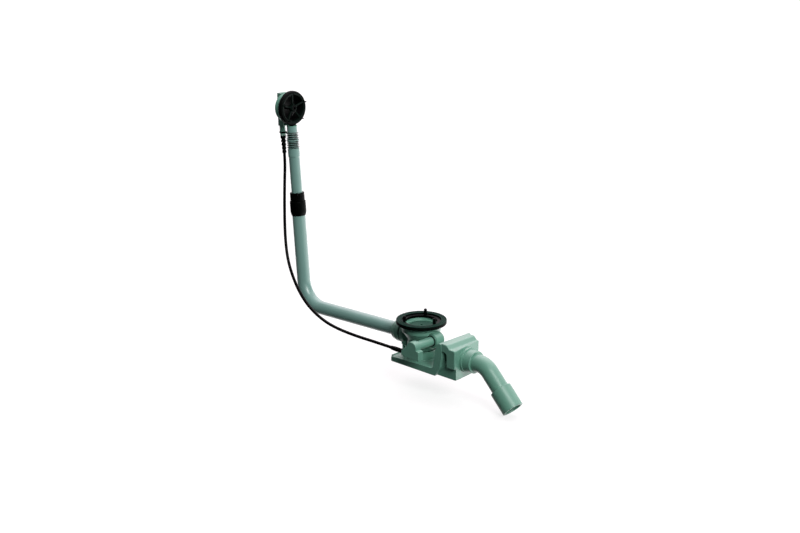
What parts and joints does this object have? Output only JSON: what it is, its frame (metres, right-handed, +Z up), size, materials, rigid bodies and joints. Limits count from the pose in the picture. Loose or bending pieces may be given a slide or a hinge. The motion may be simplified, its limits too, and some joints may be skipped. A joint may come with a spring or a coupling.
{
  "type": "bath waste and overflow",
  "caption": "Bath waste and overflow with a cable-lifted plate, a trap with a raised weir, a leaning overflow pipe and a turning outlet bend.",
  "frame": {"origin": "centre of the circle of pegs, in the plane of the seal ring's top face, which is the seat under the bath", "axes": "+Z up along the pegs, +X from the overflow pipe towards the outlet, -Y towards the side with the lever case"},
  "size_m": [0.7573, 0.1405, 0.6203],
  "materials": {
    "green_plastic": "satin moulded",
    "light_green_plastic": "satin moulded",
    "black_plastic": "satin moulded",
    "black_rubber": "moulded rubber",
    "pale_plastic": "satin moulded",
    "steel_wire": "drawn wire"
  },
  "bodies": {
    "assembly": {"actuator_case": "green_plastic", "bowden_sheath": "black_plastic", "cable_collar": "light_green_plastic", "centring_ring": "black_plastic", "guide_star": "pale_plastic", "inlet_nut": "green_plastic", "inlet_seal": "black_rubber", "lever_case": "green_plastic", "lever_case_cover": "green_plastic", "lower_cable_boot": "black_rubber", "outlet_lip_seal": "black_rubber", "overflow_bend_pipe": "green_plastic", "overflow_flex_pipe": "green_plastic", "overflow_housing": "black_plastic", "overflow_seal": "black_rubber", "overflow_star": "black_plastic", "retaining_strap": "black_plastic", "shaft_o_ring": "black_rubber", "trap_body": "green_plastic", "trap_seal": "black_rubber", "trap_side_cover": "green_plastic", "union_body": "black_plastic", "union_nut": "black_plastic", "union_seal": "black_rubber", "upper_cable_boot": "black_rubber", "waste_body": "green_plastic", "waste_seal_ring": "black_rubber"},
    "handle": {"drive_socket": "black_plastic"},
    "slider": {"wire_slider": "pale_plastic", "upper_wire_end": "steel_wire"},
    "wire": {"lower_wire_end": "steel_wire"},
    "shaft": {"lift_shaft": "pale_plastic", "lever": "pale_plastic"},
    "plate": {"lift_plate": "green_plastic"},
    "outlet": {"outlet_bend": "green_plastic", "outlet_sleeve": "green_plastic"}
  },
  "joints": [
    {"name": "slider_slide", "type": "slide", "parent": "assembly", "child": "slider", "axis": [-0.0872, 0, 0.9962], "range_m": [0, 0.00537]},
    {"name": "handle_turn", "type": "hinge", "parent": "assembly", "child": "handle", "pos_m": [-0.42457, 0, 0.42047], "axis": [0.9962, 0, 0.0872], "range_deg": [0, 90]},
    {"name": "wire_slide", "type": "slide", "parent": "assembly", "child": "wire", "axis": [-1, 0, 0], "range_m": [0, 0.0054]},
    {"name": "shaft_turn", "type": "hinge", "parent": "assembly", "child": "shaft", "pos_m": [0.048, 0, -0.036], "axis": [0, 1, 0], "range_deg": [0, 16.6]},
    {"name": "plate_lift", "type": "slide", "parent": "assembly", "child": "plate", "axis": [0, 0, 1], "range_m": [0, 0.01405]},
    {"name": "outlet_swivel", "type": "hinge", "parent": "assembly", "child": "outlet", "pos_m": [0.168, 0, -0.061], "axis": [1, 0, 0], "continuous": true}
  ],
  "couplings": [
    {"joint": "handle_turn", "follows": "slider_slide", "rad_per_m": 292.29},
    {"joint": "wire_slide", "follows": "slider_slide", "ratio": 1},
    {"joint": "shaft_turn", "follows": "slider_slide", "rad_per_m": 53.527},
    {"joint": "plate_lift", "follows": "slider_slide", "ratio": 2.6051}
  ]
}
